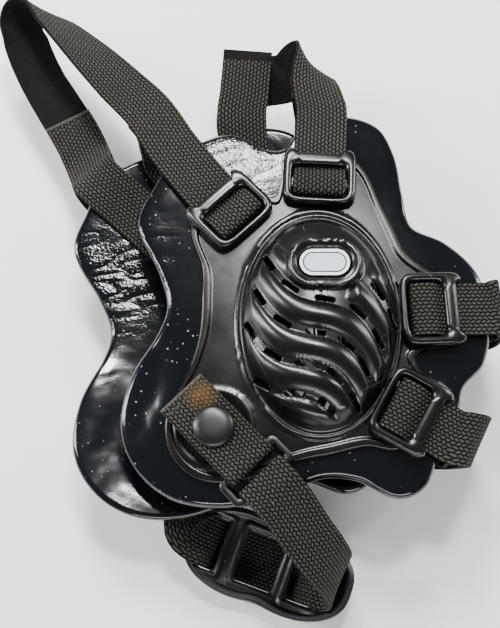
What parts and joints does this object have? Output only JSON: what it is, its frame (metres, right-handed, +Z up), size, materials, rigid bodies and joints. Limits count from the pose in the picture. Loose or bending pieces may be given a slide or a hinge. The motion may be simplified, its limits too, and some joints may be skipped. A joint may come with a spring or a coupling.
{
  "type": "wrestling ear guard",
  "caption": "Two padded shell ear guards with ribbed, vented ear cups, joined by four webbing straps and a chin strap with two snaps and a chin cup, lying folded.",
  "frame": {"origin": "on the surface that it lies on, below the middle of the whole", "axes": "+Z up, +Y towards the two long strap loops, +X towards the two short ones"},
  "size_m": [0.258, 0.314, 0.0858],
  "materials": {
    "pad_vinyl": "blue-black vinyl skin over foam, glossy, finely wrinkled",
    "shell_plastic": "black moulded plastic, glossy with fine scratches",
    "webbing": "charcoal polypropylene webbing, coarse weave",
    "snap_metal": "satin black enamelled brass",
    "slider_plastic": "satin black moulded plastic",
    "badge_plate": "plain white plate with a black field"
  },
  "bodies": {
    "root": {"ear_pad_upper": "pad_vinyl", "ear_pad_lower": "pad_vinyl", "chin_cup": "pad_vinyl", "ear_shell_upper": "shell_plastic", "ear_shell_lower": "shell_plastic", "badge_upper": "badge_plate", "badge_lower": "badge_plate", "front_strap": "webbing", "crown_strap": "webbing", "back_upper_strap": "webbing", "back_lower_strap": "webbing", "snap_tab": "webbing", "chin_strap": "webbing", "snap_upper": "snap_metal", "snap_lower": "snap_metal", "slider": "slider_plastic"}
  },
  "joints": []
}
